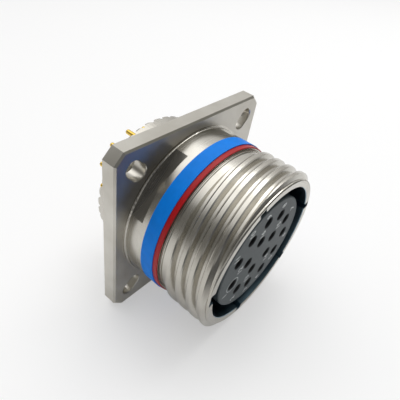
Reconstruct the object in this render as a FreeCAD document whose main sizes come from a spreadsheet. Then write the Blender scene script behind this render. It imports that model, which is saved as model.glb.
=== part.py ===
import FreeCAD, Part
import math
import os
import Sketcher

# Square-flange circular receptacle with a triple-start coupling thread and 16 socket contacts.
# The connector axis is Y. The mating end points to -Y, the terminals to +Y and Z is up.
# The origin is on the axis, in the rear face of the flange, which is the mounting face.

doc = FreeCAD.newDocument("circular_connector")
sheet = doc.addObject("Spreadsheet::Sheet", "Sizes")

# Lengths are millimetres and angles are degrees.
# A length forward or rearward is counted from the rear face of the flange.
driving_sizes = {
    # contact pattern, from which every diameter is built outwards
    "inner_ring_radius": "4.07",
    "ring_pitch": "4.53",
    "outer_ring_step": "31.91",
    # walls and gaps between the outer contacts and the coupling thread
    "insert_margin": "3.94",
    "mating_gap": "2.36",
    "nose_wall": "1.6",
    "nose_step": "0.05",
    "thread_depth": "0.915",
    "thread_rise": "0.065",
    # flange, which stands past the barrel
    "flange_overhang": "2.5",
    "flange_thickness": "3.1",
    "flange_corner": "2.0",
    "flange_bevel": "0.35",
    "slot_edge_large": "4.025",
    "slot_edge_small": "5.22",
    "slot_width": "3.25",
    "slot_bevel": "0.15",
    # barrel, with its screw-head flats and its two colour bands
    "barrel_root_fillet": "0.3",
    "flat_cut": "1.54",
    "flat_length": "3.15",
    "blue_band_setback": "4.33",
    "blue_band_width": "2.95",
    "red_band_width": "1.04",
    "red_band_step": "0.2",
    "band_depth": "0.25",
    "band_edge_round": "0.12",
    # triple-start coupling thread between its relief, which has two fine ribs, and the nose
    "relief_step": "0.05",
    "relief_width": "1.93",
    "relief_fillet": "0.1",
    "relief_rib_setback": "0.16",
    "relief_rib_width": "0.13",
    "relief_rib_gap": "0.15",
    "relief_rib_height": "0.2",
    "thread_lead_in": "0.6",
    "thread_lead": "7.62",
    "thread_root_flat": "0.45",
    "thread_flank_angle": "30",
    "thread_crest_break": "0.13",
    "thread_end_setback": "0.4",
    "thread_end_chamfer": "0.3",
    "thread_phase": "38",
    "rim_length": "23.1",
    "rim_round": "0.28",
    # mating cavity and its keyways
    "cavity_depth": "14.5",
    "rim_bore_bevel": "0.15",
    "keyway_depth": "1.2",
    "keyway_length": "12.0",
    "master_keyway_width": "3.0",
    "minor_keyway_width": "1.66",
    "master_keyway_angle": "180",
    "minor_keyway_angle_first": "260",
    "minor_keyway_angle_second": "322",
    "minor_keyway_angle_third": "16",
    "minor_keyway_angle_fourth": "113",
    # web that carries the insert, and the ledge that its rear face gives the retention insert
    "web_thickness": "6.2",
    "web_ledge": "1.0",
    # rear accessory barrel, with its toothed end face
    "rear_setback": "1.5",
    "rear_wall": "1.9",
    "rear_root_fillet": "0.3",
    "tooth_ring_step": "0.8",
    "tooth_ring_width": "1.6",
    "tooth_depth": "0.8",
    "tooth_notch_width": "1.8",
    "tooth_notch_floor": "0.2",
    # hard insert, retention insert and grommet
    "insert_face_setback": "0.6",
    "insert_face_bevel": "0.2",
    "insert_clearance": "0.06",
    "shoulder_clearance": "0.1",
    "retention_thickness": "4.0",
    "grommet_thickness": "5.2",
    # contacts and the holes that hold them
    "hole_mouth_diameter": "2.6",
    "hole_mouth_depth": "0.25",
    "hole_front_diameter": "2.24",
    "contact_setback": "1.2",
    "hood_diameter": "2.3",
    "hood_wall": "0.1",
    "hood_length": "8.0",
    "hood_clearance": "0.05",
    "hood_overhang": "0.25",
    "hood_land_length": "0.6",
    "land_clearance": "0.01",
    "socket_diameter": "1.9",
    "socket_bore_diameter": "1.62",
    "socket_bore_depth": "6.4",
    "collar_diameter": "2.5",
    "collar_length": "0.8",
    "collar_clearance": "0.05",
    "shank_diameter": "2.0",
    "shank_rear_length": "3.0",
    "tail_diameter": "1.16",
    "tail_length": "8.9",
    "tail_tip_round": "0.4",
    "tail_clearance": "0.04",
    # retention clips
    "clip_diameter": "2.96",
    "clip_clearance": "0.02",
    "clip_wall": "0.12",
    "clip_ring_length": "1.8",
    "clip_tine_clearance": "0.02",
    "clip_gap_angle": "36",
    "clip_web_thickness": "0.6",
    # how far a cutter starts outside what it cuts
    "cut_overrun": "1.0",
    "thread_cut_overrun": "0.2",
}

for row, (alias, number) in enumerate(driving_sizes.items(), start=1):
    sheet.set(f"A{row}", alias.replace("_", " "))
    sheet.set(f"B{row}", number)
    sheet.setAlias(f"B{row}", alias)
doc.recompute()

thread_starts = 3
flange_sides = 4
tooth_count = 38
outer_count = 11
inner_count = 5
near = 0.001


# Stations along the axis, as expressions on the sheet. Forward is negative Y.
rim_y = "-Sizes.rim_length"
flange_front_y = "-Sizes.flange_thickness"
blue_rear_y = "(-Sizes.flange_thickness - Sizes.blue_band_setback)"
red_rear_y = f"({blue_rear_y} - Sizes.blue_band_width)"
red_front_y = f"({red_rear_y} - Sizes.red_band_width)"
relief_front_y = f"({red_front_y} - Sizes.relief_width)"
rear_rib_y = f"({red_front_y} - Sizes.relief_rib_setback)"
front_rib_y = f"({rear_rib_y} - Sizes.relief_rib_width - Sizes.relief_rib_gap)"
thread_rear_y = f"({relief_front_y} - Sizes.thread_lead_in)"
thread_front_y = "(Sizes.thread_end_setback - Sizes.rim_length)"
web_front_y = "(Sizes.cavity_depth - Sizes.rim_length)"
web_rear_y = f"({web_front_y} + Sizes.web_thickness)"
insert_face_y = "(Sizes.insert_face_setback - Sizes.rim_length)"
retention_rear_y = f"({web_rear_y} + Sizes.retention_thickness)"
grommet_rear_y = f"({retention_rear_y} + Sizes.grommet_thickness)"
shell_rear_y = f"({grommet_rear_y} + Sizes.rear_setback)"
tail_end_y = f"({grommet_rear_y} + Sizes.tail_length)"
hood_front_y = f"({insert_face_y} + Sizes.contact_setback)"
hood_rear_y = f"({hood_front_y} + Sizes.hood_length)"
socket_front_y = f"({hood_front_y} + Sizes.hood_overhang)"
collar_front_y = f"({web_rear_y} - Sizes.collar_length)"
clip_web_y = f"({retention_rear_y} - Sizes.clip_web_thickness)"
tooth_ring_y = f"({shell_rear_y} - Sizes.tooth_ring_width)"

# Radii, each built on the one inside it.
inner_ring_r = "Sizes.inner_ring_radius"
outer_ring_r = "(Sizes.inner_ring_radius + Sizes.ring_pitch)"
insert_r = f"({outer_ring_r} + Sizes.insert_margin)"
web_r = f"({insert_r} + Sizes.insert_clearance)"
rear_bore_r = f"({web_r} + Sizes.web_ledge)"
shoulder_r = f"({rear_bore_r} - Sizes.shoulder_clearance)"
rear_thread_r = f"({rear_bore_r} + Sizes.rear_wall)"
tooth_r = f"({rear_thread_r} - Sizes.tooth_ring_step)"
cavity_r = f"({insert_r} + Sizes.mating_gap)"
nose_r = f"({cavity_r} + Sizes.nose_wall)"
thread_root_r = f"({nose_r} + Sizes.nose_step)"
relief_r = f"({thread_root_r} - Sizes.relief_step)"
rib_r = f"({relief_r} + Sizes.relief_rib_height)"
thread_r = f"({thread_root_r} + Sizes.thread_depth)"
barrel_r = f"({thread_r} - Sizes.thread_rise)"
blue_floor_r = f"({barrel_r} - Sizes.band_depth)"
red_r = f"({barrel_r} - Sizes.red_band_step)"
red_floor_r = f"({red_r} - Sizes.band_depth)"
half_width = f"({barrel_r} + Sizes.flange_overhang)"
outer_slot_r = f"({half_width} - Sizes.slot_edge_large) * sqrt(2)"
inner_slot_r = f"({half_width} - Sizes.slot_edge_small) * sqrt(2)"
contact_bore_r = "(Sizes.hood_diameter / 2 + Sizes.hood_clearance)"
collar_bore_r = "(Sizes.collar_diameter / 2 + Sizes.collar_clearance)"
clip_bore_r = "(Sizes.clip_diameter / 2 + Sizes.clip_clearance)"
tine_r = "(Sizes.shank_diameter / 2 + Sizes.clip_tine_clearance)"
tail_bore_r = "(Sizes.tail_diameter / 2 + Sizes.tail_clearance)"


def value(expression):
    return float(sheet.evalExpression(expression))


def origin_feature(body, role):
    return next(item for item in body.Origin.OriginFeatures if item.Role == role)


def add_body(name):
    body = doc.addObject("PartDesign::Body", name)
    body.Label = name
    return body


def add_sketch(body, name, plane, forward="0", turn="0", turn_axis=(0, 0, 1)):
    # forward shifts the sketch along its plane's normal, and turn rotates it about turn_axis.
    sketch = body.newObject("Sketcher::SketchObject", name)
    sketch.AttachmentSupport = (origin_feature(body, plane), [""])
    sketch.MapMode = "FlatFace"
    if turn != "0":
        rotation = FreeCAD.Rotation(FreeCAD.Vector(*turn_axis), value(turn))
        sketch.AttachmentOffset = FreeCAD.Placement(FreeCAD.Vector(), rotation)
        sketch.setExpression("AttachmentOffset.Rotation.Angle", turn)
    if forward != "0":
        sketch.setExpression("AttachmentOffset.Base.z", forward)
    return sketch


def tie_point(sketch, geometry, end, x, y):
    # The axes of a sketch are geometry -1 (horizontal) and -2 (vertical).
    for kind, across, text in (("DistanceX", -2, x), ("DistanceY", -1, y)):
        if text == "0":
            sketch.addConstraint(Sketcher.Constraint("PointOnObject", geometry, end, across))
            continue
        number = sketch.addConstraint(
            Sketcher.Constraint(kind, -1, 1, geometry, end, value(text))
        )
        sketch.setExpression(f"Constraints[{number}]", text)


def draw_outline(sketch, corners):
    # A closed outline of straight edges, with every corner placed from the origin.
    first = sketch.GeometryCount
    points = [FreeCAD.Vector(value(x), value(y), 0) for x, y in corners]
    for index, point in enumerate(points):
        following = points[(index + 1) % len(points)]
        sketch.addGeometry(Part.LineSegment(point, following), False)
    for index, (x, y) in enumerate(corners):
        following = first + (index + 1) % len(points)
        sketch.addConstraint(
            Sketcher.Constraint("Coincident", first + index, 2, following, 1)
        )
        tie_point(sketch, first + index, 1, x, y)


def mirrored_outline(half):
    # Corners given on one side of the sketch's horizontal axis are repeated on the other.
    return half + [(x, f"-({y})") for x, y in reversed(half)]


def turn_profile(body, name, corners, feature="PartDesign::Revolution", **placing):
    sketch = add_sketch(body, f"{name}_profile", "XY_Plane", **placing)
    draw_outline(sketch, corners)
    turned = body.newObject(feature, name)
    turned.Profile = sketch
    turned.ReferenceAxis = (sketch, ["V_Axis"])
    turned.Angle = 360
    return turned


def cut_pocket(body, name, sketch, length=None, reverse=False):
    pocket = body.newObject("PartDesign::Pocket", name)
    pocket.Profile = sketch
    pocket.Reversed = reverse
    if length is None:
        pocket.Type = "ThroughAll"
        pocket.Midplane = True
    else:
        pocket.Type = "Length"
        pocket.setExpression("Length", length)
    return pocket


def repeat_round_axis(body, name, feature, count, span="360"):
    pattern = body.newObject("PartDesign::PolarPattern", name)
    pattern.Originals = [feature]
    pattern.Axis = (origin_feature(body, "Y_Axis"), [""])
    pattern.Occurrences = count
    pattern.setExpression("Angle", span)
    pattern.Refine = False
    body.Tip = pattern
    return pattern


def round_edges(shape, radius, y):
    # Names of the circular edges of that radius about the connector axis, at that station.
    names = []
    for number, edge in enumerate(shape.Edges, start=1):
        curve = edge.Curve
        if not isinstance(curve, Part.Circle):
            continue
        on_axis = math.hypot(curve.Center.x, curve.Center.z) < near
        if on_axis and abs(curve.Radius - radius) < near and abs(curve.Center.y - y) < near:
            names.append(f"Edge{number}")
    return names


def dress_edges(body, name, kind, base, edges, size_property, size):
    dressed = body.newObject(kind, name)
    dressed.Base = (base, edges)
    dressed.setExpression(size_property, size)
    doc.recompute()
    return dressed


# Shell: the flange is a square plate, and the rest is turned about the axis.
shell = add_body("shell")

plate_sketch = add_sketch(shell, "flange_outline", "XZ_Plane")
half_side = f"({half_width} - Sizes.flange_corner)"
right_side = [(half_width, half_side), (half_side, half_width)]
top_left = [(f"-{half_side}", half_width), (f"-({half_width})", half_side)]
draw_outline(plate_sketch, mirrored_outline(right_side + top_left))
plate = shell.newObject("PartDesign::Pad", "flange")
plate.Profile = plate_sketch
plate.setExpression("Length", "Sizes.flange_thickness")
doc.recompute()

front_edges = [
    f"Edge{number}"
    for number, edge in enumerate(plate.Shape.Edges, start=1)
    if edge.BoundBox.YMax < value(flange_front_y) + near
]
dress_edges(
    shell, "flange_edge_bevel", "PartDesign::Chamfer", plate, front_edges, "Size", "Sizes.flange_bevel"
)

outside = [
    ("0", shell_rear_y),
    (tooth_r, shell_rear_y),
    (rear_thread_r, tooth_ring_y),
    (rear_thread_r, f"{flange_front_y} / 2"),
    (barrel_r, f"{flange_front_y} / 2"),
    (barrel_r, blue_rear_y),
    (blue_floor_r, blue_rear_y),
    (blue_floor_r, red_rear_y),
    (red_floor_r, red_rear_y),
    (red_floor_r, red_front_y),
    (relief_r, red_front_y),
    (relief_r, rear_rib_y),
    (rib_r, rear_rib_y),
    (rib_r, f"({rear_rib_y} - Sizes.relief_rib_width)"),
    (relief_r, f"({rear_rib_y} - Sizes.relief_rib_width)"),
    (relief_r, front_rib_y),
    (rib_r, front_rib_y),
    (rib_r, f"({front_rib_y} - Sizes.relief_rib_width)"),
    (relief_r, f"({front_rib_y} - Sizes.relief_rib_width)"),
    (relief_r, relief_front_y),
    (thread_r, thread_rear_y),
    (thread_r, f"({thread_front_y} + Sizes.thread_end_chamfer)"),
    (nose_r, thread_front_y),
    (nose_r, rim_y),
    ("0", rim_y),
]
turn_profile(shell, "barrel", outside)
doc.recompute()

fillets = (
    ("rear_root_fillet", rear_thread_r, "0", "Sizes.rear_root_fillet"),
    ("barrel_root_fillet", barrel_r, flange_front_y, "Sizes.barrel_root_fillet"),
    ("relief_corner_fillet", relief_r, red_front_y, "Sizes.relief_fillet"),
    ("rim_edge_round", nose_r, rim_y, "Sizes.rim_round"),
)
for name, radius, station, size in fillets:
    base = shell.Tip
    edges = round_edges(base.Shape, value(radius), value(station))
    dress_edges(shell, name, "PartDesign::Fillet", base, edges, "Radius", size)

# Three trapezoid grooves wind forward out of the relief, and what they leave is the thread.
flank_rise = "tan(Sizes.thread_flank_angle)"
break_depth = "(Sizes.thread_depth - Sizes.thread_crest_break)"
above = "Sizes.thread_cut_overrun"
break_half = f"(Sizes.thread_root_flat / 2 + {break_depth} * {flank_rise})"
top_half = f"({break_half} + (Sizes.thread_crest_break + {above}) * tan(90 - Sizes.thread_flank_angle))"
groove_y = f"({red_front_y} - Sizes.relief_width / 2)"
groove = [
    (thread_root_r, f"({groove_y} + Sizes.thread_root_flat / 2)"),
    (f"({thread_root_r} + {break_depth})", f"({groove_y} + {break_half})"),
    (f"({thread_r} + {above})", f"({groove_y} + {top_half})"),
    (f"({thread_r} + {above})", f"({groove_y} - {top_half})"),
    (f"({thread_root_r} + {break_depth})", f"({groove_y} - {break_half})"),
    (thread_root_r, f"({groove_y} - Sizes.thread_root_flat / 2)"),
]
thread_cutters = []
for start in range(thread_starts):
    cutter = add_body(f"thread_cutter_{start + 1}")
    groove_sketch = add_sketch(
        cutter, f"groove_outline_{start + 1}", "XY_Plane",
        turn=f"Sizes.thread_phase + {start} * 360 / {thread_starts}", turn_axis=(0, -1, 0),
    )
    draw_outline(groove_sketch, groove)
    winding = cutter.newObject("PartDesign::AdditiveHelix", f"groove_{start + 1}")
    winding.Profile = groove_sketch
    winding.ReferenceAxis = (groove_sketch, ["V_Axis"])
    winding.Mode = 0
    winding.Reversed = True
    winding.setExpression("Pitch", "Sizes.thread_lead")
    winding.setExpression("Height", f"(Sizes.rim_length + {groove_y} + Sizes.cut_overrun)")
    thread_cutters.append(cutter)
doc.recompute()
thread = shell.newObject("PartDesign::Boolean", "thread")
thread.Type = "Cut"
thread.addObjects(thread_cutters)
shell.Tip = thread
doc.recompute()

# The bore is open from end to end. Its web stops the insert, and the cavity takes the mating shell.
behind_shell_y = f"({shell_rear_y} + Sizes.cut_overrun)"
before_rim_y = f"({rim_y} - Sizes.cut_overrun)"
inside = [
    ("0", behind_shell_y),
    (rear_bore_r, behind_shell_y),
    (rear_bore_r, web_rear_y),
    (web_r, web_rear_y),
    (web_r, web_front_y),
    (cavity_r, web_front_y),
    (cavity_r, f"({rim_y} + Sizes.rim_bore_bevel)"),
    (f"({cavity_r} + Sizes.rim_bore_bevel)", rim_y),
    (f"({cavity_r} + Sizes.rim_bore_bevel)", before_rim_y),
    ("0", before_rim_y),
]
turn_profile(shell, "bore", inside, "PartDesign::Groove")
doc.recompute()

# Four flats on the diagonals clear the heads of the mounting screws and stop short of the root.
flat_sketch = add_sketch(
    shell, "flat_outline", "XZ_Plane",
    forward="(Sizes.flange_thickness + Sizes.flat_length)", turn="45",
)
flat_side = [
    (f"({barrel_r} - Sizes.flat_cut)", f"{barrel_r} / 2"),
    (f"({barrel_r} + Sizes.cut_overrun)", f"{barrel_r} / 2"),
]
draw_outline(flat_sketch, mirrored_outline(flat_side))
flat = cut_pocket(shell, "screw_head_flat", flat_sketch, "Sizes.flat_length - Sizes.barrel_root_fillet")
doc.recompute()
repeat_round_axis(shell, "screw_head_flats", flat, flange_sides)
doc.recompute()

# Four radial slots serve both standard hole patterns of this flange.
slot_sketch = add_sketch(shell, "slot_outline", "XZ_Plane", turn="45")
slot_r = value("Sizes.slot_width / 2")
outer_centre = FreeCAD.Vector(value(outer_slot_r), 0, 0)
inner_centre = FreeCAD.Vector(value(inner_slot_r), 0, 0)
upper, lower = FreeCAD.Vector(0, slot_r, 0), FreeCAD.Vector(0, -slot_r, 0)
for centre, start in ((outer_centre, -math.pi / 2), (inner_centre, math.pi / 2)):
    circle = Part.Circle(centre, FreeCAD.Vector(0, 0, 1), slot_r)
    slot_sketch.addGeometry(Part.ArcOfCircle(circle, start, start + math.pi), False)
slot_sketch.addGeometry(Part.LineSegment(outer_centre + upper, inner_centre + upper), False)
slot_sketch.addGeometry(Part.LineSegment(inner_centre + lower, outer_centre + lower), False)
for first, first_end, second, second_end in ((0, 2, 2, 1), (2, 2, 1, 1), (1, 2, 3, 1), (3, 2, 0, 1)):
    slot_sketch.addConstraint(
        Sketcher.Constraint("Tangent", first, first_end, second, second_end)
    )
tie_point(slot_sketch, 0, 3, outer_slot_r, "0")
tie_point(slot_sketch, 1, 3, inner_slot_r, "0")
slot_radius = slot_sketch.addConstraint(Sketcher.Constraint("Radius", 0, slot_r))
slot_sketch.setExpression(f"Constraints[{slot_radius}]", "Sizes.slot_width / 2")
slot = cut_pocket(shell, "mounting_slot", slot_sketch)
doc.recompute()
slots = repeat_round_axis(shell, "mounting_slots", slot, flange_sides)
doc.recompute()

slot_start = value(f"{barrel_r} + Sizes.barrel_root_fillet") + near
slot_reach = value(f"{outer_slot_r} + Sizes.slot_width / 2") + near
flange_faces = (0, value(flange_front_y))
slot_edges = [
    f"Edge{number}"
    for number, edge in enumerate(slots.Shape.Edges, start=1)
    if edge.BoundBox.YLength < near
    and all(min(abs(vertex.Y - y) for y in flange_faces) < near for vertex in edge.Vertexes)
    and all(slot_start < math.hypot(vertex.X, vertex.Z) < slot_reach for vertex in edge.Vertexes)
]
dress_edges(shell, "slot_edge_bevel", "PartDesign::Chamfer", slots, slot_edges, "Size", "Sizes.slot_bevel")

# Keyways in the cavity wall set the only angle at which the mating shell enters.
keyways = (
    ("master_keyway", "Sizes.master_keyway_angle", "Sizes.master_keyway_width"),
    ("keyway_first", "Sizes.minor_keyway_angle_first", "Sizes.minor_keyway_width"),
    ("keyway_second", "Sizes.minor_keyway_angle_second", "Sizes.minor_keyway_width"),
    ("keyway_third", "Sizes.minor_keyway_angle_third", "Sizes.minor_keyway_width"),
    ("keyway_fourth", "Sizes.minor_keyway_angle_fourth", "Sizes.minor_keyway_width"),
)
for name, angle, width in keyways:
    sketch = add_sketch(shell, f"{name}_outline", "XZ_Plane", forward="Sizes.rim_length", turn=angle)
    side = [
        (f"({cavity_r} - Sizes.cut_overrun)", f"{width} / 2"),
        (f"({cavity_r} + Sizes.keyway_depth)", f"{width} / 2"),
    ]
    draw_outline(sketch, mirrored_outline(side))
    cut_pocket(shell, name, sketch, "Sizes.keyway_length")
doc.recompute()

# V notches all round the rear end leave the teeth that lock an accessory.
notch_sketch = add_sketch(
    shell, "tooth_notch_outline", "YZ_Plane", forward=f"({rear_bore_r} - Sizes.cut_overrun)"
)
notch_side = [
    (f"({shell_rear_y} - Sizes.tooth_depth)", "Sizes.tooth_notch_floor / 2"),
    (shell_rear_y, "Sizes.tooth_notch_width / 2"),
    (behind_shell_y, "Sizes.tooth_notch_width / 2"),
]
draw_outline(notch_sketch, mirrored_outline(notch_side))
notch = cut_pocket(
    shell, "tooth_notch", notch_sketch,
    f"({rear_thread_r} - {rear_bore_r} + 2 * Sizes.cut_overrun)", reverse=True,
)
doc.recompute()
repeat_round_axis(shell, "teeth", notch, tooth_count)
doc.recompute()


# Colour bands: thin rings that fill shallow steps of the barrel.
blue_band = add_body("blue_band")
turn_profile(
    blue_band, "blue_ring",
    [
        (blue_floor_r, blue_rear_y),
        (barrel_r, blue_rear_y),
        (barrel_r, red_rear_y),
        (blue_floor_r, red_rear_y),
    ],
)

red_band = add_body("red_band")
red_ring = turn_profile(
    red_band, "red_ring",
    [
        (red_floor_r, red_rear_y),
        (red_r, red_rear_y),
        (red_r, red_front_y),
        (red_floor_r, red_front_y),
    ],
)
doc.recompute()
red_edge = round_edges(red_ring.Shape, value(red_r), value(red_front_y))
dress_edges(
    red_band, "red_edge_round", "PartDesign::Fillet", red_ring, red_edge,
    "Radius", "Sizes.band_edge_round",
)


# Contact pattern: the outer ring opens towards the master keyway, and one inner contact faces it.
outer_span = f"(Sizes.outer_ring_step * {outer_count - 1})"
outer_start = f"(Sizes.master_keyway_angle + (360 - {outer_span}) / 2)"


def cut_hole_rings(body, name, hole):
    # The same stepped hole is turned at the first place of each ring and repeated round the axis.
    rings = (
        ("outer", outer_ring_r, outer_start, outer_count, outer_span),
        ("inner", inner_ring_r, "Sizes.master_keyway_angle", inner_count, "360"),
    )
    for ring, radius, angle, count, span in rings:
        sketch = add_sketch(body, f"{name}_{ring}_profile", "XY_Plane", turn=angle, turn_axis=(0, -1, 0))
        draw_outline(sketch, [(f"({radius} + {x})" if x != "0" else radius, y) for x, y in hole])
        first_y, last_y = value(hole[0][1]), value(hole[-1][1])
        axis = Part.LineSegment(
            FreeCAD.Vector(value(radius), first_y, 0), FreeCAD.Vector(value(radius), last_y, 0)
        )
        number = sketch.addGeometry(axis, True)
        tie_point(sketch, number, 1, radius, hole[0][1])
        tie_point(sketch, number, 2, radius, hole[-1][1])
        drilled = body.newObject("PartDesign::Groove", f"{name}_{ring}")
        drilled.Profile = sketch
        drilled.ReferenceAxis = (sketch, ["Axis0"])
        drilled.Angle = 360
        doc.recompute()
        pattern = repeat_round_axis(body, f"{name}_{ring}_ring", drilled, count, span)
        pattern.Reversed = True
        doc.recompute()


# Front insert: a hard moulding that reaches from the web into the cavity.
front_insert = add_body("front_insert")
insert_outline = [
    ("0", insert_face_y),
    (f"({insert_r} - Sizes.insert_face_bevel)", insert_face_y),
    (insert_r, f"({insert_face_y} + Sizes.insert_face_bevel)"),
    (insert_r, web_rear_y),
    ("0", web_rear_y),
]
turn_profile(front_insert, "moulding", insert_outline)
front_hole_r = "Sizes.hole_front_diameter / 2"
mouth_r = "Sizes.hole_mouth_diameter / 2"
before_insert_y = f"({insert_face_y} - Sizes.cut_overrun)"
behind_insert_y = f"({web_rear_y} + Sizes.cut_overrun)"
front_hole = [
    ("0", before_insert_y),
    (mouth_r, before_insert_y),
    (mouth_r, insert_face_y),
    (front_hole_r, f"({insert_face_y} + Sizes.hole_mouth_depth)"),
    (front_hole_r, hood_front_y),
    (contact_bore_r, hood_front_y),
    (contact_bore_r, collar_front_y),
    (collar_bore_r, collar_front_y),
    (collar_bore_r, behind_insert_y),
    ("0", behind_insert_y),
]
cut_hole_rings(front_insert, "contact_hole", front_hole)

# Retention insert: seats on the web and holds one clip behind each contact collar.
retention_insert = add_body("retention_insert")
turn_profile(
    retention_insert, "disc",
    [
        ("0", web_rear_y),
        (shoulder_r, web_rear_y),
        (shoulder_r, retention_rear_y),
        ("0", retention_rear_y),
    ],
)
before_retention_y = f"({web_rear_y} - Sizes.cut_overrun)"
behind_retention_y = f"({retention_rear_y} + Sizes.cut_overrun)"
clip_hole = [
    ("0", before_retention_y),
    (clip_bore_r, before_retention_y),
    (clip_bore_r, clip_web_y),
    (tine_r, clip_web_y),
    (tine_r, behind_retention_y),
    ("0", behind_retention_y),
]
cut_hole_rings(retention_insert, "clip_hole", clip_hole)

# Grommet: the soft rear seal that the tails pass through.
rear_grommet = add_body("rear_grommet")
turn_profile(
    rear_grommet, "seal",
    [
        ("0", retention_rear_y),
        (shoulder_r, retention_rear_y),
        (shoulder_r, grommet_rear_y),
        ("0", grommet_rear_y),
    ],
)
before_grommet_y = f"({retention_rear_y} - Sizes.cut_overrun)"
behind_grommet_y = f"({grommet_rear_y} + Sizes.cut_overrun)"
tail_hole = [
    ("0", before_grommet_y),
    (tail_bore_r, before_grommet_y),
    (tail_bore_r, behind_grommet_y),
    ("0", behind_grommet_y),
]
cut_hole_rings(rear_grommet, "tail_hole", tail_hole)


# Contact: a drilled socket, a long shank with a collar, and a tail for a printed board.
socket_r = "Sizes.socket_diameter / 2"
socket_bore_r = "Sizes.socket_bore_diameter / 2"
hood_r = "Sizes.hood_diameter / 2"
hood_bore_r = "(Sizes.hood_diameter / 2 - Sizes.hood_wall)"
land_r = f"({hood_bore_r} - Sizes.land_clearance)"
shank_r = "Sizes.shank_diameter / 2"
collar_r = "Sizes.collar_diameter / 2"
tail_r = "Sizes.tail_diameter / 2"
land_front_y = f"({hood_rear_y} - Sizes.hood_land_length)"
socket_floor_y = f"({socket_front_y} + Sizes.socket_bore_depth)"
shank_rear_y = f"({web_rear_y} + Sizes.shank_rear_length)"
contact_outline = [
    ("0", socket_floor_y),
    (socket_bore_r, socket_floor_y),
    (socket_bore_r, socket_front_y),
    (socket_r, socket_front_y),
    (socket_r, land_front_y),
    (land_r, land_front_y),
    (land_r, hood_rear_y),
    (shank_r, hood_rear_y),
    (shank_r, collar_front_y),
    (collar_r, collar_front_y),
    (collar_r, web_rear_y),
    (shank_r, web_rear_y),
    (shank_r, shank_rear_y),
    (tail_r, shank_rear_y),
    (tail_r, tail_end_y),
    ("0", tail_end_y),
]
hood_outline = [
    (hood_bore_r, hood_front_y),
    (hood_r, hood_front_y),
    (hood_r, hood_rear_y),
    (hood_bore_r, hood_rear_y),
]
clip_r = "Sizes.clip_diameter / 2"
clip_inner_r = "(Sizes.clip_diameter / 2 - Sizes.clip_wall)"
clip_bend_y = f"({clip_web_y} - Sizes.clip_ring_length)"
clip_outline = [
    (clip_inner_r, clip_web_y),
    (clip_r, clip_web_y),
    (clip_r, clip_bend_y),
    (f"({tine_r} + Sizes.clip_wall)", web_rear_y),
    (tine_r, web_rear_y),
    (clip_inner_r, clip_bend_y),
]


def place_on_ring(body, radius, angle):
    body.setExpression("Placement.Base.x", f"{radius} * cos({angle})")
    body.setExpression("Placement.Base.z", f"{radius} * sin({angle})")


def add_contact_set(number, radius, angle):
    contact = add_body(f"socket_contact_{number:02d}")
    turned = turn_profile(contact, f"contact_{number:02d}_turned", contact_outline)
    doc.recompute()
    tip = round_edges(turned.Shape, value(tail_r), value(tail_end_y))
    dress_edges(
        contact, f"contact_{number:02d}_tip", "PartDesign::Fillet", turned, tip,
        "Radius", "Sizes.tail_tip_round",
    )
    hood = add_body(f"contact_hood_{number:02d}")
    turn_profile(hood, f"hood_{number:02d}_sleeve", hood_outline)
    clip = add_body(f"retention_clip_{number:02d}")
    sleeve = turn_profile(clip, f"clip_{number:02d}_sleeve", clip_outline)
    sleeve.Midplane = True
    sleeve.setExpression("Angle", "360 - Sizes.clip_gap_angle")
    for body in (contact, hood, clip):
        place_on_ring(body, radius, angle)
    return contact, hood, clip


sub_parts = [shell, blue_band, red_band, front_insert, retention_insert, rear_grommet]
for index in range(outer_count):
    angle = f"{outer_start} + {index} * Sizes.outer_ring_step"
    sub_parts += add_contact_set(index + 1, outer_ring_r, angle)
for index in range(inner_count):
    angle = f"Sizes.master_keyway_angle + {index} * 360 / {inner_count}"
    sub_parts += add_contact_set(outer_count + index + 1, inner_ring_r, angle)
doc.recompute()

for item in doc.Objects:
    if "Invalid" in item.State or "Error" in item.State:
        raise RuntimeError(f"{item.Name} failed: {item.State}")
for body in sub_parts:
    if body.Shape.isNull() or not body.Shape.isValid():
        raise RuntimeError(f"{body.Label} has no valid shape")

os.makedirs("parts", exist_ok=True)
for body in sub_parts:
    body.Shape.exportStep(os.path.join("parts", f"{body.Label}.step"))
    print(body.Label, round(body.Shape.Volume, 2), "mm3")
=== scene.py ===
import math

import bpy
from mathutils import Matrix, Vector
from mathutils.kdtree import KDTree


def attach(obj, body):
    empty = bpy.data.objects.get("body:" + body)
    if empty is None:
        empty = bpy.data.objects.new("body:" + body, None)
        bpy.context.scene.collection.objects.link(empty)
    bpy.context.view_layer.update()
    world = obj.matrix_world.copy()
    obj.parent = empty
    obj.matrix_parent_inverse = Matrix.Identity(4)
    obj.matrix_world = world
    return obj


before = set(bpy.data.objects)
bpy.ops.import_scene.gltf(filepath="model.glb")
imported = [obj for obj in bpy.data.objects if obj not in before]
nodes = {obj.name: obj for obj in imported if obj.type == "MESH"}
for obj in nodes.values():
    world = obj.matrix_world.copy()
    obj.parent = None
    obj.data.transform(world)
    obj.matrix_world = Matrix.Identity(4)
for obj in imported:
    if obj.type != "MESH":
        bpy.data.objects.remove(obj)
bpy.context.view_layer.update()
mm = 0.001  # sizes are in mm, as in the solids, and Blender works in metres
print("frame loaded:", len(nodes), "nodes")


def hexColour(code):
    # sRGB hex to the linear values that Blender works in
    channels = [int(code[place:place + 2], 16) / 255 for place in (1, 3, 5)]
    return [c / 12.92 if c <= 0.04045 else ((c + 0.055) / 1.055) ** 2.4 for c in channels] + [1.0]


def scaledColour(code, share):
    # a thin coat is a little darker than its colour, and a light can be stronger than white
    return [channel * share for channel in hexColour(code)[:3]] + [1.0]


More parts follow.
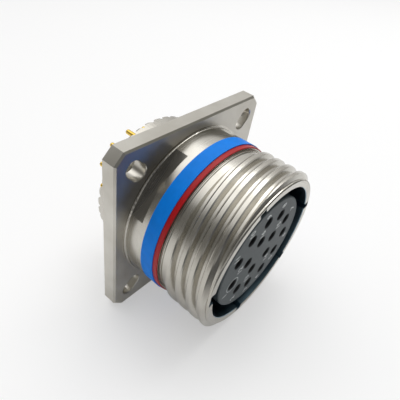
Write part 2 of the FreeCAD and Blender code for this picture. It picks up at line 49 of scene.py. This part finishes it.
def addNode(tree, kind, inputs=None, **settings):
    # an input is a value, a socket, or a node whose first output in use is linked
    node = tree.nodes.new("ShaderNode" + kind)
    for name, setting in settings.items():
        setattr(node, name, setting)
    for name, entry in (inputs or {}).items():
        if isinstance(entry, bpy.types.Node):
            entry = next(output for output in entry.outputs if output.enabled)
        if isinstance(entry, bpy.types.NodeSocket):
            tree.links.new(entry, node.inputs[name])
        else:
            node.inputs[name].default_value = entry
    return node


def newMaterial(name):
    material = bpy.data.materials.new(name)
    material.use_nodes = True
    material.node_tree.nodes.clear()
    return material, material.node_tree


def fadeColour(tree, value, span, first, second):
    # the first colour where the value is below the span, the second above it
    low, high = span
    share = addNode(tree, "MapRange", {"Value": value, "From Min": low, "From Max": high})
    return addNode(tree, "Mix", {0: share, 6: first, 7: second}, data_type="RGBA")


def axisDistance(tree, axes):
    # how far a point is from the part's axis
    flat = addNode(tree, "CombineXYZ", {"X": axes["X"], "Z": axes["Z"]})
    return addNode(tree, "VectorMath", {0: flat}, operation="LENGTH")


def betweenStations(tree, station, ends):
    # 1 where a point lies between two stations along the axis, 0 elsewhere
    low, high = ends
    above = addNode(tree, "Math", {0: station, 1: low * mm}, operation="GREATER_THAN")
    below = addNode(tree, "Math", {0: station, 1: high * mm}, operation="LESS_THAN")
    return addNode(tree, "Math", {0: above, 1: below}, operation="MULTIPLY")


def aroundAxis(radius, turn, station):
    # a point in metres, from its radius and station in mm
    return Vector((radius * mm * math.cos(turn), station * mm, radius * mm * math.sin(turn)))


def addObject(name, data):
    holder = bpy.data.objects.new(name, data)
    bpy.context.scene.collection.objects.link(holder)
    return holder


def addMesh(name, points, faces, material):
    mesh = bpy.data.meshes.new(name)
    mesh.from_pydata(points, [], faces)
    mesh.materials.append(material)
    return addObject(name, mesh)


def finalMesh(holder):
    # the object's mesh after its modifiers, or a text's letters as a mesh
    graph = bpy.context.evaluated_depsgraph_get()
    return bpy.data.meshes.new_from_object(holder.evaluated_get(graph))


# Camera

cameraView = {
    "place": (-0.051426, -0.040997, 0.054510),  # in metres
    "forward": (0.63625, 0.42872, -0.64139),
    "up": (0.41749, 0.50778, 0.75356),
    "lens": 34.91,
    "sensor": 36.0,
    "clip": (0.001, 10.0),  # in metres
}


def makeCamera():
    spec = cameraView
    camera = addObject("camera", bpy.data.cameras.new("camera"))
    camera.data.sensor_width = spec["sensor"]
    camera.data.lens = spec["lens"]
    camera.data.clip_start, camera.data.clip_end = spec["clip"]
    forward = Vector(spec["forward"]).normalized()
    right = forward.cross(Vector(spec["up"])).normalized()
    up = right.cross(forward)
    turn = Matrix((right, up, -forward)).transposed().to_4x4()
    camera.matrix_world = Matrix.Translation(spec["place"]) @ turn
    bpy.context.scene.camera = camera


makeCamera()
print("camera set")


# Materials. In a Mix node input 0 is the factor, 2 and 3 are numbers, 6 and 7 are colours.

nickelPlate = {
    "colour": "#C6C3BB",
    "shade": "#B9B5AC",
    "inside": "#7F98A6",  # painted shade: the wall of the ring gap is coloured darker and cooler than the plate outside, for the shade in the gap
    "cavityReach": 16.2,
    "cavityEnds": (-23.05, -8.5),
    "roughness": 0.24,
    "roughSpread": (-0.03, 0.04),  # from the bright to the dull turning marks
    "edgeRoughness": 0.28,
    "faceRoughness": 0.38,
    "lineWidth": 0.22,  # turning marks are nearer 0.1 mm, drawn coarser so that they show
    "lineDepth": 0.0005,
    "lineStrength": 0.9,
    "lineSpan": (0.2, 0.8),
    "threadLead": 7.62,
    "threadEnds": (-24.0, -12.3),
    "grain": 0.25,  # blasting grain is nearer 0.1 mm, drawn coarser so that it shows
    "grainDepth": 0.003,
    "grainStrength": 0.5,
    "patch": 6.0,
    "patchSpan": (0.35, 0.65),
    "endFacing": 0.8,  # a face whose normal points further along the axis is an end face
    "flangeReach": 17.9,  # the plate outside this radius is milled and blasted, not turned
}


def makeNickelPlate():
    # Electroless nickel on machined aluminium: a warm satin metal whose turning marks
    # draw fine rings round the barrel, beside an even, finely grained flange.
    spec = nickelPlate
    material, tree = newMaterial("electrolessNickelPlate")
    place = addNode(tree, "TexCoord").outputs["Object"]
    axes = addNode(tree, "SeparateXYZ", {0: place}).outputs
    radius = axisDistance(tree, axes)
    normal = addNode(tree, "NewGeometry").outputs["Normal"]
    lean = addNode(tree, "SeparateXYZ", {0: normal}).outputs["Y"]
    facing = addNode(tree, "Math", {0: lean}, operation="ABSOLUTE")
    endFace = addNode(tree, "Math", {0: facing, 1: spec["endFacing"]}, operation="GREATER_THAN")

    # rings follow the station on a turned side, and the radius on an end face
    along = addNode(tree, "Mix", {0: endFace, 2: axes["Y"], 3: radius})
    rings = addNode(
        tree, "TexNoise",
        {"W": along, "Scale": 1 / (spec["lineWidth"] * mm), "Roughness": 0.6},
        noise_dimensions="1D",
    )

    # marks on the thread wind with it: their noise is read on a circle, once round for each lead
    lead = spec["threadLead"] * mm
    around = addNode(tree, "Math", {0: axes["Z"], 1: axes["X"]}, operation="ARCTAN2")
    led = addNode(tree, "Math", {0: axes["Y"], 1: 2 * math.pi / lead}, operation="MULTIPLY")
    wound = addNode(tree, "Math", {0: led, 1: around}, operation="ADD")
    circle = addNode(tree, "CombineXYZ", {
        "X": addNode(tree, "Math", {0: wound}, operation="COSINE"),
        "Y": addNode(tree, "Math", {0: wound}, operation="SINE"),
    })
    windings = addNode(
        tree, "TexNoise",
        {"Vector": circle, "Scale": lead / (2 * math.pi * spec["lineWidth"] * mm)},
        noise_dimensions="2D",
    )
    offEnds = addNode(tree, "Math", {0: 1.0, 1: endFace}, operation="SUBTRACT")
    atThread = betweenStations(tree, axes["Y"], spec["threadEnds"])
    onThread = addNode(tree, "Math", {0: offEnds, 1: atThread}, operation="MULTIPLY")
    lines = addNode(tree, "Mix", {0: onThread, 2: rings, 3: windings})

    # the ring gap, whose wall carries painted shade, the milled flange and the turned rest
    nearAxis = addNode(
        tree, "Math", {0: radius, 1: spec["cavityReach"] * mm}, operation="LESS_THAN",
    )
    atCavity = betweenStations(tree, axes["Y"], spec["cavityEnds"])
    inside = addNode(tree, "Math", {0: nearAxis, 1: atCavity}, operation="MULTIPLY")
    milled = addNode(
        tree, "Math", {0: radius, 1: spec["flangeReach"] * mm}, operation="GREATER_THAN",
    )
    milledOrGapShade = addNode(tree, "Math", {0: milled, 1: inside}, operation="MAXIMUM")
    turned = addNode(tree, "Math", {0: 1.0, 1: milledOrGapShade}, operation="SUBTRACT")

    patches = addNode(
        tree, "TexNoise", {"Vector": place, "Scale": 1 / (spec["patch"] * mm), "Detail": 3.0},
    )
    plated = fadeColour(
        tree, patches, spec["patchSpan"], hexColour(spec["colour"]), hexColour(spec["shade"]),
    )
    # painted shade: in the ring gap the plate's colour gives way to a darker, cooler grey
    colour = addNode(
        tree, "Mix", {0: inside, 6: plated, 7: hexColour(spec["inside"])}, data_type="RGBA",
    )

    bright, dull = (spec["roughness"] + change for change in spec["roughSpread"])
    low, high = spec["lineSpan"]
    turnedRough = addNode(tree, "MapRange", {
        "Value": lines, "From Min": low, "From Max": high, "To Min": bright, "To Max": dull,
    })
    milledRough = addNode(tree, "Mix", {
        0: endFace, 2: spec["edgeRoughness"], 3: spec["faceRoughness"],
    })
    rough = addNode(tree, "Mix", {0: turned, 2: milledRough, 3: turnedRough})

    grain = addNode(tree, "TexNoise", {"Vector": place, "Scale": 1 / (spec["grain"] * mm)})
    grainBump = addNode(tree, "Bump", {
        "Strength": spec["grainStrength"], "Distance": spec["grainDepth"] * mm, "Height": grain,
    })
    turnedLines = addNode(tree, "Math", {0: lines, 1: turned}, operation="MULTIPLY")
    lineBump = addNode(tree, "Bump", {
        "Strength": spec["lineStrength"], "Distance": spec["lineDepth"] * mm,
        "Height": turnedLines, "Normal": grainBump,
    })
    plate = addNode(tree, "BsdfPrincipled", {
        "Base Color": colour, "Metallic": 1.0, "Roughness": rough, "Normal": lineBump,
    })
    addNode(tree, "OutputMaterial", {"Surface": plate})
    return material


enamelBand = {
    # colour, roughness and specular level of each band
    "blueEnamel": ("#0883EC", 0.45, 0.12),
    "redEnamel": ("#AE0D15", 0.34, 0.3),
    "thinShare": 0.9,  # brightness of the colour where the coat is thin
    "ripple": 1.4,
    "rippleSpan": (0.3, 0.7),
    "rippleDepth": 0.01,
    "rippleStrength": 0.4,
}


def makeEnamel(name):
    # Sprayed enamel over the turned step: even strong colour with a soft gloss
    # that ripples a little, and a shade darker where the coat is thin.
    spec = enamelBand
    code, roughness, specular = spec[name]
    material, tree = newMaterial(name)
    place = addNode(tree, "TexCoord").outputs["Object"]
    ripple = addNode(tree, "TexNoise", {"Vector": place, "Scale": 1 / (spec["ripple"] * mm)})
    thin = scaledColour(code, spec["thinShare"])
    bump = addNode(tree, "Bump", {
        "Strength": spec["rippleStrength"], "Distance": spec["rippleDepth"] * mm, "Height": ripple,
    })
    coat = addNode(tree, "BsdfPrincipled", {
        "Base Color": fadeColour(tree, ripple, spec["rippleSpan"], thin, hexColour(code)),
        "Roughness": roughness, "Specular IOR Level": specular, "Normal": bump,
    })
    addNode(tree, "OutputMaterial", {"Surface": coat})
    return material


insertResin = {
    "colour": "#4F585B",
    "shade": "#474F52",
    # painted shade: the colour in the holes, and on the sides in the ring gap
    "bore": "#0C1012",
    "side": "#39464C",
    "sideRadius": 12.2,
    "roughness": 0.55,
    "speckle": 0.35,  # fibre ends are under 0.1 mm, drawn coarser so that they show
    "speckleSpan": (0.35, 0.65),
    "speckleDepth": 0.006,
    "speckleStrength": 0.5,
    "face": -22.5,
    # behind the face, where the shade of the holes and of the side begins and where it is full
    "boreShade": (0.02, 0.1),
    "sideShade": (0.2, 2.5),
}


def makeInsertResin():
    # Glass-filled thermoset, moulded: a flat cool grey with a very fine speckle, with painted shade
    # that makes it black in its holes and a dark slate down its sides.
    spec = insertResin
    material, tree = newMaterial("glassFilledThermoset")
    place = addNode(tree, "TexCoord").outputs["Object"]
    axes = addNode(tree, "SeparateXYZ", {0: place}).outputs
    speckle = addNode(tree, "TexNoise", {
        "Vector": place, "Scale": 1 / (spec["speckle"] * mm), "Detail": 3.0, "Roughness": 0.6,
    })
    face = fadeColour(
        tree, speckle, spec["speckleSpan"], hexColour(spec["colour"]), hexColour(spec["shade"]),
    )
    # painted shade: black down the holes behind the face, dark slate down the sides
    boreSpan = [(spec["face"] + depth) * mm for depth in spec["boreShade"]]
    bored = fadeColour(tree, axes["Y"], boreSpan, face, hexColour(spec["bore"]))
    sideSpan = [(spec["face"] + depth) * mm for depth in spec["sideShade"]]
    sideShaded = fadeColour(tree, axes["Y"], sideSpan, face, hexColour(spec["side"]))
    radius = axisDistance(tree, axes)
    atSide = addNode(
        tree, "Math", {0: radius, 1: spec["sideRadius"] * mm}, operation="GREATER_THAN",
    )
    colour = addNode(tree, "Mix", {0: atSide, 6: bored, 7: sideShaded}, data_type="RGBA")
    bump = addNode(tree, "Bump", {
        "Strength": spec["speckleStrength"], "Distance": spec["speckleDepth"] * mm,
        "Height": speckle,
    })
    moulding = addNode(tree, "BsdfPrincipled", {
        "Base Color": colour, "Roughness": spec["roughness"], "Normal": bump,
    })
    addNode(tree, "OutputMaterial", {"Surface": moulding})
    return material


printInk = {
    "colour": "#E4E7E6",
    "thin": "#C4C9CA",
    "blotch": 0.5,
    "blotchSpan": (0.35, 0.65),
    "roughness": 0.6,
}


def makePrintInk():
    # Pad-printed epoxy ink: pale grey-white, thinner in places so that the resin greys it.
    spec = printInk
    material, tree = newMaterial("padPrintedInk")
    place = addNode(tree, "TexCoord").outputs["Object"]
    blotch = addNode(tree, "TexNoise", {"Vector": place, "Scale": 1 / (spec["blotch"] * mm)})
    colour = fadeColour(
        tree, blotch, spec["blotchSpan"], hexColour(spec["colour"]), hexColour(spec["thin"]),
    )
    film = addNode(tree, "BsdfPrincipled", {"Base Color": colour, "Roughness": spec["roughness"]})
    addNode(tree, "OutputMaterial", {"Surface": film})
    return material


siliconeSeal = {
    "colour": "#6E3D30",
    "shade": "#5A3026",
    "roughness": 0.62,
    "mottle": 1.2,
    "mottleSpan": (0.35, 0.65),
    "mottleDepth": 0.01,
    "mottleStrength": 0.4,
}


def makeSiliconeSeal():
    # Fluorosilicone rubber, moulded: a dull, slightly mottled red-brown.
    spec = siliconeSeal
    material, tree = newMaterial("fluorosiliconeRubber")
    place = addNode(tree, "TexCoord").outputs["Object"]
    mottle = addNode(
        tree, "TexNoise", {"Vector": place, "Scale": 1 / (spec["mottle"] * mm), "Detail": 4.0},
    )
    colour = fadeColour(
        tree, mottle, spec["mottleSpan"], hexColour(spec["colour"]), hexColour(spec["shade"]),
    )
    bump = addNode(tree, "Bump", {
        "Strength": spec["mottleStrength"], "Distance": spec["mottleDepth"] * mm, "Height": mottle,
    })
    rubber = addNode(tree, "BsdfPrincipled", {
        "Base Color": colour, "Roughness": spec["roughness"], "Normal": bump,
    })
    addNode(tree, "OutputMaterial", {"Surface": rubber})
    return material


smallMetals = {
    # colour, worn colour, roughness, and the width of the turning marks, which are nearer
    # 0.05 mm on the real parts and drawn coarser so that they show
    "goldPlate": ("#E9CB6A", "#D2AC4C", 0.24, 0.2),
    "passivatedSteel": ("#B9B8B5", "#9E9D9A", 0.3, 0.15),
    "berylliumCopper": ("#C99562", "#A87848", 0.32, 0.25),
    "lineSpan": (0.3, 0.7),
    "lineDepth": 0.005,
    "lineStrength": 0.4,
}


def makeSmallMetal(name):
    # Turned pins and sleeves, in gold plate, passivated steel or beryllium copper: a bright
    # metal with thin rings along its length, some of them a shade darker.
    spec = smallMetals
    code, worn, roughness, width = spec[name]
    material, tree = newMaterial(name)
    place = addNode(tree, "TexCoord").outputs["Object"]
    station = addNode(tree, "SeparateXYZ", {0: place}).outputs["Y"]
    lines = addNode(
        tree, "TexNoise", {"W": station, "Scale": 1 / (width * mm)}, noise_dimensions="1D",
    )
    bump = addNode(tree, "Bump", {
        "Strength": spec["lineStrength"], "Distance": spec["lineDepth"] * mm, "Height": lines,
    })
    metal = addNode(tree, "BsdfPrincipled", {
        "Base Color": fadeColour(tree, lines, spec["lineSpan"], hexColour(code), hexColour(worn)),
        "Metallic": 1.0, "Roughness": roughness, "Normal": bump,
    })
    addNode(tree, "OutputMaterial", {"Surface": metal})
    return material


nickel = makeNickelPlate()
blueEnamel = makeEnamel("blueEnamel")
redEnamel = makeEnamel("redEnamel")
resin = makeInsertResin()
ink = makePrintInk()
silicone = makeSiliconeSeal()
gold = makeSmallMetal("goldPlate")
steel = makeSmallMetal("passivatedSteel")
copper = makeSmallMetal("berylliumCopper")
print("materials made")


# CAD nodes

nodeFinish = {
    "shell": nickel,
    "blue_band": blueEnamel,
    "red_band": redEnamel,
    "front_insert": resin,
    "retention_insert": resin,
    "rear_grommet": silicone,
    "socket_contact": gold,
    "contact_hood": steel,
    "retention_clip": copper,
}


def finishNodes():
    for name, piece in nodes.items():
        kind = name if name in nodeFinish else name[:-3]  # without its number, such as _07
        piece.data.materials.clear()
        piece.data.materials.append(nodeFinish[kind])


finishNodes()
print("CAD nodes finished")


# The fine accessory thread of the rear barrel, and the plain relief between it and the teeth.
# Both are cut out of the shell by modifiers, whose cutters are hidden.

rearThread = {
    "radius": 15.5,
    "pitch": 1.0,
    "depth": 0.541,
    "rootWidth": 0.25,
    "mouthWidth": 0.99,
    "above": 0.1,  # how far the cutter stands out of the barrel
    "start": 1.3,
    "end": 4.7,
    "runIn": 0.4,  # turns in which the groove comes to its full depth
    "stepsPerTurn": 48,
}

rearRelief = {
    "radius": 14.9,
    "reach": 16.5,  # the cutter's outer radius, clear of the barrel
    "start": 4.5,
    "end": 9.0,
    "steps": 120,
}

cutShading = {
    "weld": 0.001,  # joins the shell's surfaces, which are loaded apart
    "sharpAngle": 25,
    "sameFace": 0.999,  # cosine within which a corner still belongs to its old face
}


def makeCutter(name, rings, closed):
    # joins each ring of corners to the next; the faces point outwards, or nothing is cut
    points = [point for ring in rings for point in ring]
    corners = len(rings[0])
    faces = []
    for index in range(len(rings) if closed else len(rings) - 1):
        here, ahead = corners * index, corners * ((index + 1) % len(rings))
        for side in range(corners):
            beside = (side + 1) % corners
            faces.append((here + side, here + beside, ahead + beside, ahead + side))
    if not closed:
        faces.append(tuple(reversed(range(corners))))
        faces.append(tuple(range(len(points) - corners, len(points))))
    cutter = addMesh(name, points, faces, nickel)
    cutter.hide_render = True
    return cutter


def makeRearGroove():
    spec = rearThread
    steps, width = spec["stepsPerTurn"], spec["rootWidth"]
    top = spec["radius"] + spec["above"]
    rings = []
    for index in range(round((spec["end"] - spec["start"]) / spec["pitch"] * steps) + 1):
        turn = 2 * math.pi * index / steps
        station = spec["start"] + spec["pitch"] * index / steps
        share = min(1.0, index / (steps * spec["runIn"]))
        root = spec["radius"] - spec["depth"] * share
        mouth = width + (spec["mouthWidth"] - width) * share
        section = ((root, -width / 2), (top, -mouth / 2), (top, mouth / 2), (root, width / 2))
        rings.append([aroundAxis(reach, turn, station + shift) for reach, shift in section])
    return makeCutter("rear_groove", rings, closed=False)


def makeRearRelief():
    spec = rearRelief
    inner, outer, start, end = spec["radius"], spec["reach"], spec["start"], spec["end"]
    section = ((inner, start), (outer, start), (outer, end), (inner, end))
    turns = [2 * math.pi * index / spec["steps"] for index in range(spec["steps"])]
    rings = [[aroundAxis(reach, turn, station) for reach, station in section] for turn in turns]
    return makeCutter("rear_relief", rings, closed=True)


def makeCutNormals(shell):
    # Each corner that the cuts left in place gets the exact normal of its CAD surface again.
    source = shell.data
    corners = KDTree(len(source.loops))
    faceNormals = {}
    for polygon in source.polygons:
        for corner in polygon.loop_indices:
            corners.insert(source.vertices[source.loops[corner].vertex_index].co, corner)
            faceNormals[corner] = polygon.normal
    corners.balance()
    cut = finalMesh(shell)
    normals = [Vector(entry.vector) for entry in cut.corner_normals]
    for polygon in cut.polygons:
        for corner in polygon.loop_indices:
            place = cut.vertices[cut.loops[corner].vertex_index].co
            found = corners.find_range(place, cutShading["weld"] * mm)
            near = [index for position, index, gap in found]
            if near:
                best = max(near, key=lambda index: faceNormals[index].dot(polygon.normal))
                if faceNormals[best].dot(polygon.normal) > cutShading["sameFace"]:
                    normals[corner] = Vector(source.corner_normals[best].vector)
    cut.normals_split_custom_set(normals)
    holder = addObject("shell_normals", cut)
    holder.hide_render = True
    return holder


def cutRearBarrel(shell):
    weld = shell.modifiers.new("weld", "WELD")
    weld.merge_threshold = cutShading["weld"] * mm
    for name, cutter in (("rear_thread", makeRearGroove()), ("rear_relief", makeRearRelief())):
        cut = shell.modifiers.new(name, "BOOLEAN")
        cut.operation = "DIFFERENCE"
        cut.solver = "MANIFOLD"
        cut.object = cutter
    edges = shell.modifiers.new("sharp_edges", "EDGE_SPLIT")
    edges.split_angle = math.radians(cutShading["sharpAngle"])
    normals = shell.modifiers.new("surface_normals", "DATA_TRANSFER")
    normals.object = makeCutNormals(shell)
    normals.use_loop_data = True
    normals.data_types_loops = {"CUSTOM_NORMAL"}
    normals.loop_mapping = "TOPOLOGY"


cutRearBarrel(nodes["shell"])
print("rear thread and relief cut")


# Printed numbers beside the contact holes, with their tops towards the master keyway

contactPrint = {
    "face": -22.5,
    "lift": 0.012,
    "height": 1.4,
    "fontScale": 1.35,  # the font's size for a digit as tall as 1
    "bold": 0.03,
    "ringRadius": 1.68,
    "ringWidth": 0.13,
    "ringSteps": 48,
    "outerRadius": 8.6,
    "outerStep": 31.91,
    "outerCount": 11,
    "innerRadius": 4.07,
    "innerCount": 5,
    "keyway": 180,  # angle of the master keyway
    # from each hole to the middle of its number, in mm along X and Z
    "offsets": [
        (-1.85, -1.8), (-0.8, -2.25), (-0.1, -2.3), (-0.6, -2.5), (-0.2, -2.3), (1.5, -1.9),
        (1.5, 2.15), (0.1, 2.45), (-0.6, 1.95), (-0.8, 2.15), (-1.1, 1.95), (-2.5, 0.0),
        (-1.0, -2.3), (0.8, -2.15), (1.27, 2.15), (-0.4, 2.2),
    ],
}


def contactPlaces():
    # radius and angle of each hole, the outer circle first
    spec = contactPrint
    outerCount, outerStep, innerCount = spec["outerCount"], spec["outerStep"], spec["innerCount"]
    start = spec["keyway"] + (360 - (outerCount - 1) * outerStep) / 2
    outer = [(spec["outerRadius"], start + index * outerStep) for index in range(outerCount)]
    inner = [
        (spec["innerRadius"], spec["keyway"] + index * 360 / innerCount)
        for index in range(innerCount)
    ]
    return outer + inner


def printedNumber(label):
    # the text's mesh, centred, as tall as the print
    spec = contactPrint
    curve = bpy.data.curves.new("number", "FONT")
    curve.body = label
    curve.align_x = "CENTER"
    curve.align_y = "CENTER"
    curve.size = spec["height"] * mm * spec["fontScale"]
    curve.offset = spec["bold"] * mm
    holder = addObject("number", curve)
    bpy.context.view_layer.update()
    mesh = finalMesh(holder)
    bpy.data.objects.remove(holder)
    return mesh


def makeContactPrint():
    spec = contactPrint
    points, faces = [], []
    station = spec["face"] - spec["lift"]
    # text X runs up the insert and text Y towards the keyway, seen from the mating end
    textX, textY = Vector((0, 0, 1)), Vector((-1, 0, 0))
    places = contactPlaces()
    for number, (radius, angle) in enumerate(places, start=1):
        turn = math.radians(angle)
        besideX, besideZ = spec["offsets"][number - 1]
        across, height = radius * math.cos(turn) + besideX, radius * math.sin(turn) + besideZ
        centre = Vector((across * mm, station * mm, height * mm))
        mesh = printedNumber(str(number))
        offset = len(points)
        points += [centre + textX * v.co.x + textY * v.co.y for v in mesh.vertices]
        faces += [[offset + index for index in polygon.vertices] for polygon in mesh.polygons]

    # the ring round the first hole
    radius, angle = places[0]
    middle = aroundAxis(radius, math.radians(angle), station)
    halfWidth, steps, offset = spec["ringWidth"] / 2, spec["ringSteps"], len(points)
    for index in range(steps):
        side = 2 * math.pi * index / steps
        for reach in (spec["ringRadius"] - halfWidth, spec["ringRadius"] + halfWidth):
            points.append(middle + Vector((math.cos(side), 0, math.sin(side))) * reach * mm)
        first, following = offset + 2 * index, offset + 2 * ((index + 1) % steps)
        faces.append([first, first + 1, following + 1, following])
    piece = addMesh("contact_print", points, faces, ink)
    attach(piece, "root")


makeContactPrint()
print("contact numbers printed")


# Studio: the part lies on the flange's lower edge and the rim of its thread

studio = {
    # where the floor touches the part, as Y and Z
    "flangeEdge": (-3.1, -19.9),
    "threadFoot": (-22.4, -17.47),
    "gap": 0.02,
    "floorSize": 3.0,  # in metres
    "floorColour": "#F6F6F6",
    "floorRoughness": 0.9,
    "glow": 0.42,
    "mirroredGlow": 0.13,
    # painted reflection: in front of the part the paper turns dark for mirrored rays alone, while
    # the camera still sees it white
    "front": (-0.25, -0.97, 0.0),
    "paintedDarkSpan": (40.0, 58.0),
    "paintedDarkShare": 0.85,
}


def makePaper():
    # White paper: its own glow, for the camera and for mirrored rays alone, keeps the shadow light.
    spec = studio
    material, tree = newMaterial("studioPaper")
    sheet = addNode(tree, "BsdfPrincipled", {
        "Base Color": hexColour(spec["floorColour"]), "Roughness": spec["floorRoughness"],
    })
    rays = addNode(tree, "LightPath").outputs
    seen = addNode(tree, "Math", {0: rays["Is Camera Ray"], 1: spec["glow"]}, operation="MULTIPLY")
    mirrored = addNode(
        tree, "Math", {0: rays["Is Glossy Ray"], 1: spec["mirroredGlow"]}, operation="MULTIPLY",
    )
    glow = addNode(tree, "Math", {0: seen, 1: mirrored}, operation="ADD")
    white = addNode(tree, "Emission", {"Color": hexColour("#FFFFFF"), "Strength": 1.0})
    paper = addNode(tree, "MixShader", {0: glow, 1: sheet, 2: white})

    # painted reflection: a dark that only mirrored rays see, fading in with distance in front of
    # the part
    place = addNode(tree, "NewGeometry").outputs["Position"]
    reach = addNode(tree, "VectorMath", {0: place, 1: spec["front"]}, operation="DOT_PRODUCT")
    start, end = spec["paintedDarkSpan"]
    paintedDarkFade = addNode(tree, "MapRange", {
        "Value": reach, "From Min": start * mm, "From Max": end * mm, "To Max": spec["paintedDarkShare"],
    })
    paintedDarkMirror = addNode(
        tree, "Math", {0: paintedDarkFade, 1: rays["Is Glossy Ray"]}, operation="MULTIPLY",
    )
    dark = addNode(tree, "Emission", {"Strength": 0.0})
    room = addNode(tree, "MixShader", {0: paintedDarkMirror, 1: paper, 2: dark})
    addNode(tree, "OutputMaterial", {"Surface": room})
    return material


def makeFloor():
    spec = studio
    (rearY, rearZ), (frontY, frontZ) = spec["flangeEdge"], spec["threadFoot"]
    half = spec["floorSize"] / 2
    corners = [(-half, -half, 0), (half, -half, 0), (half, half, 0), (-half, half, 0)]
    floor = addMesh("studio_floor", corners, [(0, 1, 2, 3)], makePaper())
    floor.rotation_euler = (math.atan2(rearZ - frontZ, rearY - frontY), 0, 0)
    floor.location = (0, rearY * mm, (rearZ - spec["gap"]) * mm)


softbox = {
    # in metres and watts
    "place": (0.28, 0.03, 0.55),
    "target": (0, -0.01, 0),
    "size": 0.4,
    "power": 1.2,
}


def makeSoftbox():
    spec = softbox
    lamp = bpy.data.lights.new("overhead_softbox", "AREA")
    lamp.shape = "DISK"
    lamp.size = spec["size"]
    lamp.energy = spec["power"]
    holder = addObject("overhead_softbox", lamp)
    holder.location = spec["place"]
    aim = Vector(spec["target"]) - Vector(spec["place"])
    holder.rotation_euler = aim.to_track_quat("-Z", "Y").to_euler()


worldLight = {
    "backdrop": "#FFFFFF",
    "zenith": ("#FFFFFF", 1.0),
    "horizon": ("#F0EFEC", 0.66),
    "heightSpan": (0.0, 0.8),  # sine of the height at which each of the two is full
    # centre of each area, cosine at its edge and where it is full, colour and strength
    "areas": [
        ((0.10, 0.47, 0.877), 0.87, 0.975, "#FFFFFF", 1.9),  # panel overhead
        ((-0.80, 0.43, 0.42), 0.87, 0.965, "#E8E6E0", 0.22),  # rear left
        ((-0.60, -0.48, 0.64), 0.80, 0.95, "#D8DCE8", 0.14),  # upper front left
        ((0.40, -0.91, 0.10), 0.50, 0.82, "#E6E2C8", 0.11),  # low in front
    ],
}


def makeWorld():
    # The room as the metal mirrors it: a bright panel overhead, and three dark areas.
    spec = worldLight
    world = bpy.data.worlds.new("studioRoom")
    bpy.context.scene.world = world
    world.use_nodes = True
    tree = world.node_tree
    tree.nodes.clear()
    direction = addNode(tree, "TexCoord").outputs["Generated"]
    height = addNode(tree, "SeparateXYZ", {0: direction}).outputs["Z"]
    horizon, zenith = scaledColour(*spec["horizon"]), scaledColour(*spec["zenith"])
    room = fadeColour(tree, height, spec["heightSpan"], horizon, zenith)
    for centre, edge, full, code, strength in spec["areas"]:
        towards = Vector(centre).normalized()
        nearness = addNode(
            tree, "VectorMath", {0: direction, 1: towards}, operation="DOT_PRODUCT",
        )
        room = fadeColour(tree, nearness, (edge, full), room, scaledColour(code, strength))
    light = addNode(tree, "Background", {"Color": room, "Strength": 1.0})
    white = addNode(tree, "Background", {"Color": hexColour(spec["backdrop"]), "Strength": 1.0})
    seen = addNode(tree, "LightPath").outputs["Is Camera Ray"]
    shown = addNode(tree, "MixShader", {0: seen, 1: light, 2: white})
    addNode(tree, "OutputWorld", {"Surface": shown})


makeSoftbox()
makeFloor()
makeWorld()
bpy.context.scene.view_settings.view_transform = "Standard"
print("studio lit")
